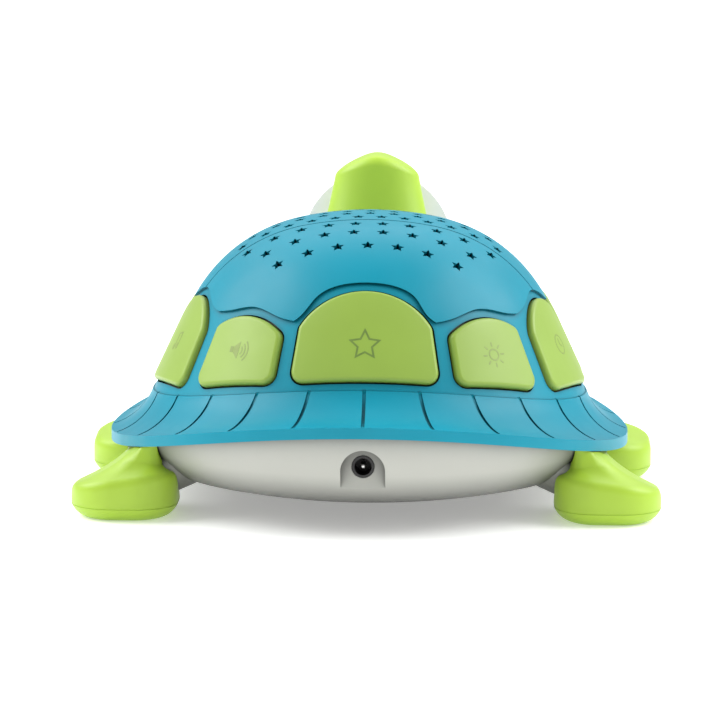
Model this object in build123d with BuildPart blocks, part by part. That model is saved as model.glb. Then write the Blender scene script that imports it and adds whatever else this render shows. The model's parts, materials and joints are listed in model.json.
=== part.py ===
"""Turtle shaped sound machine with a star projector, seen as an assembly of separate pieces.

The shell's axis is the vertical Z axis while the pieces are made, with the tail toward -Y and the head
toward +Y. Every piece is then moved along Y by the same amount, so that the origin is the middle of the
footprint, on the surface that the flippers stand on. All lengths are in millimetres, all angles in degrees.
"""
import os
from math import asin, atan2, cos, degrees, radians, sin, sqrt

from build123d import *

# Dome of the shell: a flat crown, a round shoulder and a straight leaning flank
dome_height = 108.4
crown_radius = 130.0
shoulder_radius = 58.0
crown_angle = 12.4
flank_lean = 25.0
shell_wall = 2.4
crown_step = 1.1

# Skirt and lip, which arch up toward the head and the tail
arch_rise = 0.0017
arch_reach = 1.4
skirt_top = 41.6
skirt_step = 0.7
skirt_bend_out = 0.72
skirt_bend_down = 0.5
skirt_root = 62.0
skirt_root_floor = 38.0
rim_radius = 99.3
lip_top = 26.4
lip_bottom = 22.3
skirt_stations = 13
groove_count = 24
groove_width = 1.3
groove_depth = 0.9
groove_end = 0.6

# Seam grooves over the crown
seam_offset = 16.0
seam_width = 0.7
seam_depth = 0.5

# Star shaped light holes, in rows across the crown
star_radius = 2.2
star_inner_radius = 1.1
star_cut = 5.0
star_points = 5
star_rows = [(41.0, 7, 67.0), (31.0, 8, 77.0), (21.5, 10, 92.0), (11.0, 12, 97.0), (3.6, 11, 90.0)]

# Push buttons in the flank
button_proud = 2.2
button_gap = 0.7
button_travel = 0.9
button_corner = 4.6
button_top_corner = 3.6
button_edge = 1.6
button_wall = 2.0
button_foot = 2.4
flange_width = 0.7
flange_wall = 1.4
flange_gap = 0.3
stem_radius = 2.6
stem_length = 2.2
wave_lift = 3.8
wave_valley = 77.0
wave_bend = 0.75
wave_reach = 9.0
prism_reach = 13.0
prism_drop = 40.0
wave_floor = 70.0

# Each kind of button: height of its centre, half widths at foot and shoulder, shoulder and top heights
star_button = {"centre": 67.0, "foot": 27.4, "shoulder": 24.4, "shoulder_up": 9.5, "top_up": 23.0}
rear_button = {"centre": 62.0, "foot": 18.3, "shoulder": 15.8, "shoulder_up": 10.6, "top_up": 15.6}
neck_wave = {"centre": 60.0, "foot": 34.0, "shoulder": 28.0, "shoulder_up": 14.9, "top_up": 16.0}
side_button = {"centre": 60.0, "foot": 20.6, "shoulder": 17.6, "shoulder_up": 10.0, "top_up": 20.9}

# Bearing of each button, in degrees from the tail, positive toward +X
rear_bearing = 39.3
side_bearing = 73.5
front_bearing = 109.6

# Carrier ring with the switches behind the buttons
carrier_wall = 2.0
carrier_low = 45.0
carrier_high = 73.0
circuit_low = 50.0
circuit_high = 72.0
carrier_sweep = 262.0
carrier_foot = 4.0
carrier_foot_wall = 2.0
post_orbit = 63.0
post_radius = 4.0
post_bearings = (30.0, 75.0, 120.0)
circuit_wall = 0.4
circuit_fit = 0.3
switch_size = 6.0
switch_height = 3.4
switch_gap = 0.1

# Belly bowl
belly_bottom = 2.0
belly_radius = 300.0
belly_corner = 26.0
belly_rim = 96.0
belly_wall = 2.4
belly_tuck = 4.0
belly_top = 48.0
seat_gap = 0.3

# Legs that dive from the belly's side into the flippers: start, dive below level and sweep along the body
leg_radius = 8.0
leg_x = 60.0
leg_y = 34.9
leg_z = 28.3
leg_dive = 39.0
leg_sweep = 18.0
leg_length = 27.7

# Flippers
flipper_x = 90.4
flipper_y = 44.0
flipper_width = 40.0
flipper_depth = 40.0
flipper_corner = 16.0
sole_height = 5.0
sole_inset = 6.0
sole_bulge_height = 0.35
sole_bulge_inset = 0.4
# Flank levels: height, tilt toward the belly and inset from the widest outline
flank_levels = [
    (sole_height, 0.0, 0.0),
    (10.0, 3.0, 0.2),
    (13.8, 6.0, 1.0),
]
# Instep levels: height, tilt, width, depth, corner and place
instep_levels = [
    (16.6, 7.0, 31.5, 33.5, 12.0, 89.2, 42.9),
    (19.4, 4.0, 22.0, 27.0, 9.0, 86.4, 41.2),
]
neck_x = 84.8
neck_y = 39.5
neck_width = 12.0
neck_depth = 20.0
neck_corner = 5.0
lip_gap = 0.4

# Head, with a round face in front
# Levels of the neck and hood: height, half width, half depth and place along the body
hood_levels = [
    (44.0, 25.0, 15.0, 84.0),
    (72.0, 23.5, 14.0, 87.0),
    (97.0, 20.2, 12.5, 93.5),
    (111.0, 17.3, 11.5, 96.0),
    (124.0, 16.0, 11.0, 97.0),
]
# Outline of the hood's top, seen from behind: half width and height
hood_top = 121.5
hood_brow = (7.8, 119.3)
hood_shoulder = (15.0, 115.2)
hood_temple = (22.0, 104.0)
hood_edge = 4.0
face_radius = 30.6
face_height = 82.9
face_middle = 107.0
face_front = 11.0
face_back = 7.0
face_edge = 1.5
eye_half_width = 3.6
eye_half_height = 4.8
eye_thickness = 1.0
eye_spacing = 23.0
eye_lift = 5.0

# DC inlet at the tail
inlet_height = 27.0
inlet_width = 16.3
inlet_top = 34.2
inlet_floor = 88.5
jack_width = 9.0
jack_depth = 14.0
jack_tall = 10.0
jack_nose_radius = 4.0
jack_nose_proud = 0.3
jack_bore_radius = 3.15
jack_bore_depth = 9.5
jack_pin_radius = 1.0
jack_pin_length = 8.5
jack_pin_round = 0.9
jack_fit = 0.2

# Speaker, facing down behind a grille
speaker_y = -38.0
speaker_radius = 25.0
speaker_seat = 12.0
speaker_flange = 1.5
speaker_basket_height = 11.0
speaker_neck_radius = 13.0
magnet_radius = 15.0
magnet_height = 7.0
cone_wall = 0.8
basket_wall = 1.0
speaker_lip = 2.0
grille_hole_radius = 1.3
grille_pitch = 6.5
grille_rings = 2
grille_spokes = 6

# Batteries, their box and their door
cell_count = 3
cell_radius = 7.25
cell_length = 50.0
cell_pitch = 15.4
cell_height = 17.6
cell_fit = 0.6
contact_wall = 0.6
contact_room = 3.0
contact_size = 10.0
contact_corner = 1.0
contact_taper = 35.0
cell_nub_length = 1.4
cell_nub_radius = 2.7
box_wall = 2.6
box_y = 19.0
door_ledge = 1.0
door_corner = 5.0
door_gap = 0.35
door_tab_radius = 5.0
door_tab_reach = 4.4
door_post_radius = 4.0
door_post_height = 10.0
door_screw_head = 1.4
door_screw_sink = 0.1

# Boards, lamp and screws
board_height = 33.0
board_width = 92.0
board_depth = 58.0
board_wall = 1.6
board_y = 11.5
board_post_x = 41.0
board_post_y = 24.0
board_post_radius = 3.2
chip_size = 14.0
chip_height = 1.8
chip_x = 32.0
chip_edge = 0.3
tower_radius = 17.0
tower_wall = 1.8
tower_height = 22.0
lamp_board_radius = 19.0
lamp_board_wall = 1.6
led_radius = 2.5
led_height = 5.0
led_orbit = 8.0
led_count = 3
led_round = 0.9
boss_orbit = 86.0
boss_radius = 4.0
boss_bearings = (90.0, 152.0)
boss_rise = 5.0
boss_reach = 30.0
screw_radius = 1.5
screw_head_radius = 2.8
screw_head_height = 1.8
screw_bite = 5.0
screw_fit = 0.2
screw_seat = 6.0
tolerance = 0.01

os.makedirs("parts", exist_ok=True)

# Derived places on the dome
lean = radians(flank_lean)
flank_angle = radians(90.0 - flank_lean)
crown_turn = radians(crown_angle)
crown_centre_z = dome_height - crown_radius
shoulder_centre_r = (crown_radius - shoulder_radius) * sin(crown_turn)
shoulder_centre_z = crown_centre_z + (crown_radius - shoulder_radius) * cos(crown_turn)
flank_start_r = shoulder_centre_r + shoulder_radius * sin(flank_angle)
flank_start_z = shoulder_centre_z + shoulder_radius * cos(flank_angle)
flange_depth = shell_wall + flange_gap + flange_wall
carrier_face = flange_depth + stem_length + button_travel + switch_gap + switch_height + circuit_wall
tail_reach = rim_radius
head_reach = face_middle + face_front
frame_shift = Location((0, (tail_reach - head_reach) / 2, 0))


def flank_r(height, offset=0.0):
    """Radius of the dome's straight flank at a height, for a surface offset outward."""
    return flank_start_r + (flank_start_z - height) * sin(lean) / cos(lean) + offset / cos(lean)


def crown_z(radius, offset=0.0):
    """Height of the dome's crown or shoulder at a radius, for a surface offset outward."""
    if radius < (crown_radius + offset) * sin(crown_turn):
        return crown_centre_z + sqrt((crown_radius + offset) ** 2 - radius**2)
    return shoulder_centre_z + sqrt((shoulder_radius + offset) ** 2 - (radius - shoulder_centre_r) ** 2)


def arch(base, depth):
    """Height of a line that arches up toward the head and the tail."""
    return base + arch_rise * depth**2


def dome_body(offset, floor):
    """Solid dome whose surface lies an offset outside the plain dome, down to a floor height."""
    with BuildPart() as body:
        with BuildSketch(Plane.XZ):
            with BuildLine():
                crown = CenterArc(
                    (0, crown_centre_z), crown_radius + offset, 90 - crown_angle, crown_angle)
                shoulder = CenterArc(
                    (shoulder_centre_r, shoulder_centre_z), shoulder_radius + offset,
                    flank_lean, 90 - crown_angle - flank_lean)
                Polyline(shoulder @ 0, (flank_r(floor, offset), floor), (0, floor), crown @ 1)
            make_face()
        revolve(axis=Axis.Z)
    return body.part


def belly_body(inset, top):
    """Solid of revolution of the belly bowl, inset from its outer face, up to a flat top."""
    corner_r = belly_rim - belly_corner
    corner_z = belly_bottom + belly_radius - sqrt((belly_radius - belly_corner) ** 2 - corner_r**2)
    start = degrees(atan2(corner_z - belly_bottom - belly_radius, corner_r))
    with BuildPart() as body:
        with BuildSketch(Plane.XZ):
            with BuildLine():
                bottom = CenterArc((0, belly_bottom + belly_radius), belly_radius - inset, -90, start + 90)
                corner = CenterArc((corner_r, corner_z), belly_corner - inset, start, -start)
                Polyline(corner @ 1, (belly_rim - inset, top), (0, top), bottom @ 0)
            make_face()
        revolve(axis=Axis.Z)
    return body.part


def arch_body(base, top):
    """Block above the surface that arches up from a base height, as wide as the whole object."""
    reach = arch_reach * rim_radius
    with BuildPart() as body:
        with BuildSketch(Plane.YZ):
            with BuildLine():
                curve = ThreePointArc((-reach, arch(base, reach)), (0, base), (reach, arch(base, reach)))
                Polyline(curve @ 1, (reach, top), (-reach, top), curve @ 0)
            make_face()
        extrude(amount=reach, both=True)
    return body.part


def bearing_plane(bearing, height, offset=0.0):
    """Plane tangent to the flank at a bearing from the tail, with its Y direction up the flank."""
    turn = radians(bearing)
    radius = flank_r(height, offset)
    out = Vector(sin(turn) * cos(lean), -cos(turn) * cos(lean), sin(lean))
    return Plane(
        origin=(radius * sin(turn), -radius * cos(turn), height),
        x_dir=(cos(turn), sin(turn), 0), z_dir=out)


def meridian(bearing):
    """Upright plane through the shell's axis, with its X direction out at a bearing from the tail."""
    turn = radians(bearing)
    return Plane(origin=(0, 0, 0), x_dir=(sin(turn), -cos(turn), 0), z_dir=(-cos(turn), -sin(turn), 0))


def skirt_line(bearing):
    """Top, bend and lip points of the skirt's outer line at a bearing, as radius and height."""
    turn = cos(radians(bearing))
    top_z = arch(skirt_top, flank_r(skirt_top) * turn)
    top_r = flank_r(top_z) + skirt_step
    lip_z = arch(lip_top, rim_radius * turn)
    bend_r = top_r + skirt_bend_out * (rim_radius - top_r)
    bend_z = top_z + skirt_bend_down * (lip_z - top_z)
    return (top_r, top_z), (bend_r, bend_z), (rim_radius, lip_z)


def ring_loft(outline):
    """Ring made of a loft through meridian sections of the tail half and its mirror image."""
    with BuildPart() as ring:
        for index in range(skirt_stations):
            bearing = 180.0 * index / (skirt_stations - 1) - 90.0
            with BuildSketch(meridian(bearing)):
                with BuildLine():
                    outline(bearing)
                make_face()
        loft()
        mirror(about=Plane.XZ)
    return ring.part


def skirt_outline(bearing):
    """Section of the filled skirt, from inside the dome out to the lip."""
    top, bend, lip = skirt_line(bearing)
    foot_z = arch(lip_bottom, rim_radius * cos(radians(bearing)))
    flare = ThreePointArc(top, bend, lip)
    Polyline(flare @ 1, (rim_radius, foot_z), (skirt_root, foot_z), (skirt_root, top[1]), flare @ 0)


def skirt_hollow_outline(bearing):
    """Section of the hollow under the skirt, open below the lip."""
    top, bend, lip = skirt_line(bearing)
    slope_inset = shell_wall * sqrt(0.5)
    foot_z = arch(lip_bottom, rim_radius * cos(radians(bearing))) - belly_tuck
    top_in = (top[0] - skirt_step - slope_inset, top[1] - shell_wall)
    bend_in = (bend[0] - slope_inset, bend[1] - slope_inset)
    lip_in = (rim_radius - shell_wall, lip[1] - slope_inset)
    flare = ThreePointArc(top_in, bend_in, lip_in)
    Polyline(
        flare @ 1, (rim_radius - shell_wall, foot_z), (skirt_root, foot_z), (skirt_root, top_in[1]),
        flare @ 0)


def flank_point(bearing, height):
    """Point on the plain flank at a bearing and height."""
    turn = radians(bearing)
    radius = flank_r(height)
    return Vector(radius * sin(turn), -radius * cos(turn), height)


def button_outline(kind, bearing):
    """Sharp outline of a button in its tangent plane, with its foot along the arch."""
    plane = bearing_plane(bearing, kind["centre"])
    foot_z = arch(skirt_top + button_foot, flank_r(skirt_top) * cos(radians(bearing)))
    spread = degrees(asin(kind["foot"] / flank_r(foot_z)))
    corners = []
    for turn in (bearing - spread, bearing + spread):
        height = arch(skirt_top + button_foot, flank_r(skirt_top) * cos(radians(turn)))
        local = plane.to_local_coords(flank_point(turn, height))
        corners.append((local.X, local.Y))
    left_shoulder = (-kind["shoulder"], kind["shoulder_up"])
    right_shoulder = (kind["shoulder"], kind["shoulder_up"])
    Polyline(left_shoulder, corners[0], corners[1], right_shoulder)
    ThreePointArc(right_shoulder, (0, kind["top_up"]), left_shoulder)


def button_prism(kind, bearing, grow):
    """Prism of a button outline along the button's travel, through the whole shell wall."""
    plane = bearing_plane(bearing, kind["centre"])
    with BuildPart() as prism:
        with BuildSketch(plane):
            with BuildLine():
                button_outline(kind, bearing)
            make_face()
            fillet(vertices().sort_by(Axis.Y)[:2], radius=button_corner)
            fillet(vertices().sort_by(Axis.Y)[-2:], radius=button_top_corner)
            if grow:
                offset(amount=grow, mode=Mode.REPLACE)
        extrude(amount=prism_reach, both=True)
    return prism.part


def wave_prism(kind, bearing):
    """Prism that cuts the crown's wavy edge over one button."""
    plane = bearing_plane(bearing, kind["centre"])
    valley = (wave_valley - kind["centre"]) / cos(lean)
    peak = kind["top_up"] + wave_lift
    half = kind["foot"] + wave_reach / 2
    outer = half + wave_reach
    rise = kind["top_up"] - kind["shoulder_up"]
    bow = (kind["shoulder"] ** 2 + rise**2) / (2 * rise)
    bend = wave_bend * kind["shoulder"]
    bend_up = kind["top_up"] - bow + sqrt((bow + wave_lift) ** 2 - bend**2)
    with BuildPart() as prism:
        with BuildSketch(plane):
            with BuildLine():
                wave = Spline(
                    (-half, valley), (-bend, bend_up), (0, peak), (bend, bend_up), (half, valley),
                    tangents=[(1, 0), (1, 0)])
                Polyline(
                    wave @ 1, (outer, valley), (outer, -prism_drop), (-outer, -prism_drop), (-outer, valley),
                    wave @ 0)
            make_face()
        extrude(amount=prism_reach, both=True)
    return prism.part


def dome_gap(point):
    """Distance of a point outside the plain dome."""
    radius = sqrt(point.X**2 + point.Y**2)
    out = radius - shoulder_centre_r
    up = point.Z - shoulder_centre_z
    if out * sin(lean) >= up * cos(lean):
        return (radius - flank_r(point.Z)) * cos(lean)
    if out <= up * sin(crown_turn) / cos(crown_turn):
        return sqrt(radius**2 + (point.Z - crown_centre_z) ** 2) - crown_radius
    return sqrt(out**2 + up**2) - shoulder_radius


def is_level_circle(edge):
    """True for a circle round the shell's axis, such as the seam between shoulder and flank."""
    return edge.geom_type == GeomType.CIRCLE and abs((edge @ 0).Z - (edge @ 1).Z) < tolerance


def write_piece(builder, node):
    """Move a finished piece into the part's frame, name it and write it."""
    piece = builder.part.moved(frame_shift)
    piece.label = node
    export_step(piece, f"parts/{node}.step")


def star_planes():
    """Planes of the light holes: rows across the crown, each hole square to the surface."""
    planes = []
    for row, count, span in star_rows:
        for side in (-1, 1):
            for index in range(count):
                x = span * (index / (count - 1) - 0.5)
                y = side * row
                radius = sqrt(x**2 + y**2)
                z = crown_z(radius, crown_step)
                centre_r = 0.0
                centre_z = crown_centre_z
                if radius > (crown_radius + crown_step) * sin(crown_turn):
                    centre_r = shoulder_centre_r
                    centre_z = shoulder_centre_z
                out = (radius - centre_r) / radius
                normal = Vector(x * out, y * out, z - centre_z)
                across = Vector(0, 1, 0).cross(normal)
                planes.append(Plane(origin=(x, y, z), x_dir=across, z_dir=normal))
    return planes


# Buttons: name of each piece, its kind and its bearing
buttons = {
    "button_star": (star_button, 0.0),
    "button_rear_left": (rear_button, -rear_bearing),
    "button_rear_right": (rear_button, rear_bearing),
    "button_side_left": (side_button, -side_bearing),
    "button_side_right": (side_button, side_bearing),
    "button_front_left": (side_button, -front_bearing),
    "button_front_right": (side_button, front_bearing),
}
dome_floor = lip_bottom
star_corners = []
for index in range(2 * star_points):
    radius = star_inner_radius if index % 2 else star_radius
    turn = radians(90.0 + index * 180.0 / star_points)
    star_corners.append((radius * cos(turn), radius * sin(turn)))

# Screw posts that join the two shells, as x, y and the height where the halves meet
boss_spots = []
for bearing in boss_bearings:
    for side in (-1, 1):
        turn = radians(side * bearing)
        meet = arch(lip_bottom, boss_orbit * cos(turn)) + boss_rise
        boss_spots.append((boss_orbit * sin(turn), -boss_orbit * cos(turn), meet))

# Posts under the carrier ring
carrier_foot_z = carrier_low - carrier_foot_wall
post_spots = []
for bearing in post_bearings:
    for side in (-1, 1):
        turn = radians(side * bearing)
        post_spots.append((post_orbit * sin(turn), -post_orbit * cos(turn)))

# Shell: plain dome, raised crown and flared skirt as one envelope
with BuildPart() as seam_slots:
    with BuildSketch(Plane.XY.offset(wave_floor)):
        with Locations((0, seam_offset), (0, -seam_offset)):
            Rectangle(2 * rim_radius, seam_width)
    extrude(amount=dome_height)
    add(dome_body(crown_step - seam_depth, 0), mode=Mode.SUBTRACT)

with BuildPart() as skirt_grooves:
    for index in range(groove_count):
        bearing = index * 360.0 / groove_count
        top, bend, lip = skirt_line(bearing)
        depth = groove_depth * sqrt(0.5)
        with BuildSketch(meridian(bearing)):
            with BuildLine():
                floor = ThreePointArc(
                    (top[0] - groove_depth, top[1]), (bend[0] - depth, bend[1] - depth),
                    (lip[0] - groove_depth, lip[1] + groove_end))
                Polyline(
                    floor @ 1, (lip[0] + groove_end, lip[1] + groove_end),
                    (lip[0] + groove_end, top[1] + groove_end),
                    (top[0] - groove_depth, top[1] + groove_end), floor @ 0)
            make_face()
        extrude(amount=groove_width / 2, both=True)

with BuildPart() as crown:
    add(dome_body(crown_step, wave_floor))
    add(dome_body(-shell_wall / 2, wave_floor - shell_wall), mode=Mode.SUBTRACT)
    for kind, bearing in buttons.values():
        add(wave_prism(kind, bearing), mode=Mode.SUBTRACT)
    add(wave_prism(neck_wave, 180.0), mode=Mode.SUBTRACT)
    add(seam_slots.part, mode=Mode.SUBTRACT)

with BuildPart() as envelope:
    add(dome_body(0, skirt_root_floor))
    add(ring_loft(skirt_outline))

with BuildPart() as hollow:
    add(dome_body(-shell_wall, dome_floor))
    add(ring_loft(skirt_hollow_outline))
    for x, y, meet in boss_spots:
        with BuildSketch(Plane.XY.offset(meet)):
            with Locations((x, y)):
                Circle(boss_radius)
        extrude(amount=boss_reach, mode=Mode.SUBTRACT)

with BuildPart() as upper_shell:
    add(envelope.part)
    add(crown.part)
    add(hollow.part, mode=Mode.SUBTRACT)
    for kind, bearing in buttons.values():
        add(button_prism(kind, bearing, button_gap), mode=Mode.SUBTRACT)
    for x, y, meet in boss_spots:
        with BuildSketch(Plane.XY.offset(meet)):
            with Locations((x, y)):
                Circle(screw_radius)
        extrude(amount=screw_bite, mode=Mode.SUBTRACT)
    add(skirt_grooves.part, mode=Mode.SUBTRACT)
    with BuildSketch(*star_planes()):
        with BuildLine():
            Polyline(*star_corners, close=True)
        make_face()
    extrude(amount=star_cut, both=True, mode=Mode.SUBTRACT)
write_piece(upper_shell, "upper_shell")

# Push buttons: curved caps with a flange behind the shell wall and a stem for the switch
cap_outside = dome_body(button_proud, 0)
cap_roof = dome_body(button_proud - button_wall, 0)
flange_outside = dome_body(-shell_wall - flange_gap, 0)
button_inside = dome_body(-flange_depth, 0)
for node, (kind, bearing) in buttons.items():
    travel_plane = bearing_plane(bearing, kind["centre"])
    with BuildPart() as flange:
        add(button_prism(kind, bearing, button_gap + flange_width))
        add(flange_outside, mode=Mode.INTERSECT)
    with BuildPart() as button:
        add(button_prism(kind, bearing, 0))
        add(cap_outside, mode=Mode.INTERSECT)
        rounded = edges().filter_by(lambda edge: abs(dome_gap(edge @ 0.5) - button_proud) < tolerance)
        fillet(rounded.filter_by(lambda edge: not is_level_circle(edge)), radius=button_edge)
        add(flange.part)
        add(button_inside, mode=Mode.SUBTRACT)
    with BuildPart() as cap_hollow:
        add(button_prism(kind, bearing, -button_wall))
        add(cap_roof, mode=Mode.INTERSECT)
        with BuildSketch(travel_plane.offset(-flange_depth - stem_length)):
            Circle(stem_radius)
        extrude(amount=prism_reach, mode=Mode.SUBTRACT)
    with BuildPart() as button_piece:
        add(button.part)
        add(cap_hollow.part, mode=Mode.SUBTRACT)
        with BuildSketch(travel_plane.offset(-flange_depth - stem_length)):
            Circle(stem_radius)
        extrude(amount=flange_depth + stem_length + button_proud - button_wall)
    write_piece(button_piece, node)

# Switches, their flexible circuit and the carrier ring behind the buttons
with BuildPart() as tact_switches:
    for kind, bearing in buttons.values():
        with BuildSketch(bearing_plane(bearing, kind["centre"]).offset(circuit_wall - carrier_face)):
            Rectangle(switch_size, switch_size)
        extrude(amount=switch_height)
write_piece(tact_switches, "tact_switches")

ring_start = meridian(-carrier_sweep / 2)
carrier_outside = -carrier_face - circuit_fit
carrier_inside = carrier_outside - carrier_wall
with BuildPart() as switch_circuit:
    with BuildSketch(ring_start):
        with BuildLine():
            Polyline(
                (flank_r(circuit_low, circuit_wall - carrier_face), circuit_low),
                (flank_r(circuit_high, circuit_wall - carrier_face), circuit_high),
                (flank_r(circuit_high, -carrier_face), circuit_high),
                (flank_r(circuit_low, -carrier_face), circuit_low), close=True)
        make_face()
    revolve(axis=Axis.Z, revolution_arc=carrier_sweep)
write_piece(switch_circuit, "switch_circuit")

with BuildPart() as button_carrier:
    with BuildSketch(ring_start):
        with BuildLine():
            Polyline(
                (flank_r(carrier_low, carrier_outside), carrier_low),
                (flank_r(carrier_high, carrier_outside), carrier_high),
                (flank_r(carrier_high, carrier_inside), carrier_high),
                (flank_r(carrier_low, carrier_inside), carrier_low),
                (post_orbit - carrier_foot, carrier_low),
                (post_orbit - carrier_foot, carrier_foot_z),
                (flank_r(carrier_low, carrier_outside), carrier_foot_z), close=True)
        make_face()
    revolve(axis=Axis.Z, revolution_arc=carrier_sweep)
    with BuildSketch(Plane.XY.offset(carrier_foot_z)):
        with Locations(*post_spots):
            Circle(screw_radius + screw_fit)
    extrude(amount=carrier_foot_wall, mode=Mode.SUBTRACT)
write_piece(button_carrier, "button_carrier")

with BuildPart() as carrier_screws:
    with BuildSketch(Plane.XY.offset(carrier_foot_z - screw_bite)):
        with Locations(*post_spots):
            Circle(screw_radius)
    extrude(amount=screw_bite + carrier_foot_wall)
    with BuildSketch(Plane.XY.offset(carrier_low)):
        with Locations(*post_spots):
            Circle(screw_head_radius)
    extrude(amount=screw_head_height)
write_piece(carrier_screws, "carrier_screws")

# Belly: features that stand up inside the bowl are left out of its hollow
box_half_x = cell_length / 2 + contact_room
box_half_y = cell_count * cell_pitch / 2 + cell_fit
box_roof = cell_height + cell_radius + cell_fit
door_width = 2 * (box_half_x + door_ledge)
door_depth = 2 * (box_half_y + door_ledge)
tab_y = box_y + box_half_y + door_tab_reach
tab_z = belly_bottom + tab_y**2 / (2 * belly_radius)
door_seat = tab_z + door_screw_sink + door_screw_head
board_spots = [(x, board_y + y) for x in (-board_post_x, board_post_x) for y in (-board_post_y, board_post_y)]


def legs(grow):
    """The four legs, grown by an amount at their sides and ends."""
    dive = radians(leg_dive)
    sweep = radians(leg_sweep)
    with BuildPart() as made:
        for side in (-1, 1):
            for end in (-1, 1):
                along = (side * cos(dive) * cos(sweep), end * cos(dive) * sin(sweep), -sin(dive))
                with BuildSketch(Plane(origin=(side * leg_x, end * leg_y, leg_z), z_dir=along)):
                    Circle(leg_radius + grow)
                extrude(amount=leg_length + grow)
    return made.part


inlet_radius = inlet_width / 2
jack_plane = Plane(origin=(0, -inlet_floor, inlet_height), x_dir=(1, 0, 0), z_dir=(0, -1, 0))
recess_plane = Plane(origin=(0, -inlet_floor, inlet_top - inlet_radius), x_dir=(1, 0, 0), z_dir=(0, -1, 0))

with BuildPart() as belly_hollow:
    add(belly_body(belly_wall, belly_top))
    with BuildSketch(Plane.XY):
        with Locations(*post_spots):
            Circle(post_radius)
    extrude(amount=carrier_foot_z, mode=Mode.SUBTRACT)
    with BuildSketch(Plane.XY):
        with Locations(*board_spots):
            Circle(board_post_radius)
    extrude(amount=board_height, mode=Mode.SUBTRACT)
    for x, y, meet in boss_spots:
        with BuildSketch(Plane.XY):
            with Locations((x, y)):
                Circle(boss_radius)
        extrude(amount=meet, mode=Mode.SUBTRACT)
    with BuildSketch(Plane.XY):
        with Locations((0, speaker_y)):
            Circle(speaker_radius)
            Circle(speaker_radius - speaker_lip, mode=Mode.SUBTRACT)
    extrude(amount=speaker_seat, mode=Mode.SUBTRACT)
    with BuildSketch(Plane.XY):
        with Locations((0, box_y)):
            Rectangle(2 * (box_half_x + box_wall), 2 * (box_half_y + box_wall))
    extrude(amount=box_roof + box_wall, mode=Mode.SUBTRACT)
    with BuildSketch(Plane.XY):
        with Locations((0, tab_y)):
            Circle(door_post_radius)
    extrude(amount=tab_z + door_post_height, mode=Mode.SUBTRACT)
    with BuildSketch(recess_plane.offset(-belly_wall)):
        with BuildLine():
            over = CenterArc((0, 0), inlet_radius + belly_wall, 0, 180)
            Polyline(
                over @ 1, (-inlet_radius - belly_wall, -inlet_top),
                (inlet_radius + belly_wall, -inlet_top), over @ 0)
        make_face()
    extrude(amount=belly_rim, mode=Mode.SUBTRACT)

with BuildPart() as door_opening:
    with BuildSketch(Plane.XY):
        with Locations((0, box_y)):
            RectangleRounded(door_width + 2 * door_gap, door_depth + 2 * door_gap, door_corner + door_gap)
        with Locations((0, tab_y)):
            Circle(door_tab_radius + door_gap)
    extrude(amount=box_roof)
    add(belly_body(belly_wall + door_gap, belly_top), mode=Mode.SUBTRACT)

with BuildPart() as rim_cut:
    add(arch_body(lip_bottom + belly_tuck, belly_top + belly_rim))
    add(belly_body(belly_wall, belly_top + belly_rim), mode=Mode.SUBTRACT)

with BuildPart() as lower_shell:
    add(belly_body(0, belly_top))
    add(legs(0))
    add(rim_cut.part, mode=Mode.SUBTRACT)
    add(belly_hollow.part, mode=Mode.SUBTRACT)
    add(door_opening.part, mode=Mode.SUBTRACT)
    with BuildSketch(Plane.XY):
        with Locations((0, box_y)):
            Rectangle(2 * box_half_x, 2 * box_half_y)
    extrude(amount=box_roof, mode=Mode.SUBTRACT)
    with BuildSketch(recess_plane):
        with BuildLine():
            over = CenterArc((0, 0), inlet_radius, 0, 180)
            Polyline(over @ 1, (-inlet_radius, -inlet_top), (inlet_radius, -inlet_top), over @ 0)
        make_face()
    extrude(amount=belly_rim, mode=Mode.SUBTRACT)
    with BuildSketch(jack_plane.offset(-belly_wall)):
        Circle(jack_nose_radius + jack_fit)
    extrude(amount=belly_wall, mode=Mode.SUBTRACT)
    with BuildSketch(Plane.XY):
        with Locations((0, speaker_y)):
            Circle(grille_hole_radius)
            for ring in range(1, grille_rings + 1):
                with PolarLocations(ring * grille_pitch, grille_spokes * ring):
                    Circle(grille_hole_radius)
    extrude(amount=speaker_seat, mode=Mode.SUBTRACT)
    for x, y, meet in boss_spots:
        with BuildSketch(Plane.XY):
            with Locations((x, y)):
                Circle(screw_head_radius + screw_fit)
        extrude(amount=meet - screw_seat, mode=Mode.SUBTRACT)
        with BuildSketch(Plane.XY):
            with Locations((x, y)):
                Circle(screw_radius + screw_fit)
        extrude(amount=meet, mode=Mode.SUBTRACT)
    with BuildSketch(Plane.XY):
        with Locations((0, tab_y)):
            Circle(screw_radius)
    extrude(amount=door_seat + screw_bite, mode=Mode.SUBTRACT)
    with BuildSketch(Plane.XY.offset(carrier_foot_z - screw_bite)):
        with Locations(*post_spots):
            Circle(screw_radius)
    extrude(amount=screw_bite, mode=Mode.SUBTRACT)
    with BuildSketch(Plane.XY.offset(board_height - screw_bite)):
        with Locations(*board_spots):
            Circle(screw_radius)
    extrude(amount=screw_bite, mode=Mode.SUBTRACT)
write_piece(lower_shell, "lower_shell")

# Screws that join the two shells from below
with BuildPart() as case_screws:
    for x, y, meet in boss_spots:
        with BuildSketch(Plane.XY.offset(meet - screw_seat - screw_head_height)):
            with Locations((x, y)):
                Circle(screw_head_radius)
        extrude(amount=screw_head_height)
        with BuildSketch(Plane.XY.offset(meet - screw_seat)):
            with Locations((x, y)):
                Circle(screw_radius)
        extrude(amount=screw_seat + screw_bite)
write_piece(case_screws, "case_screws")

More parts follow.
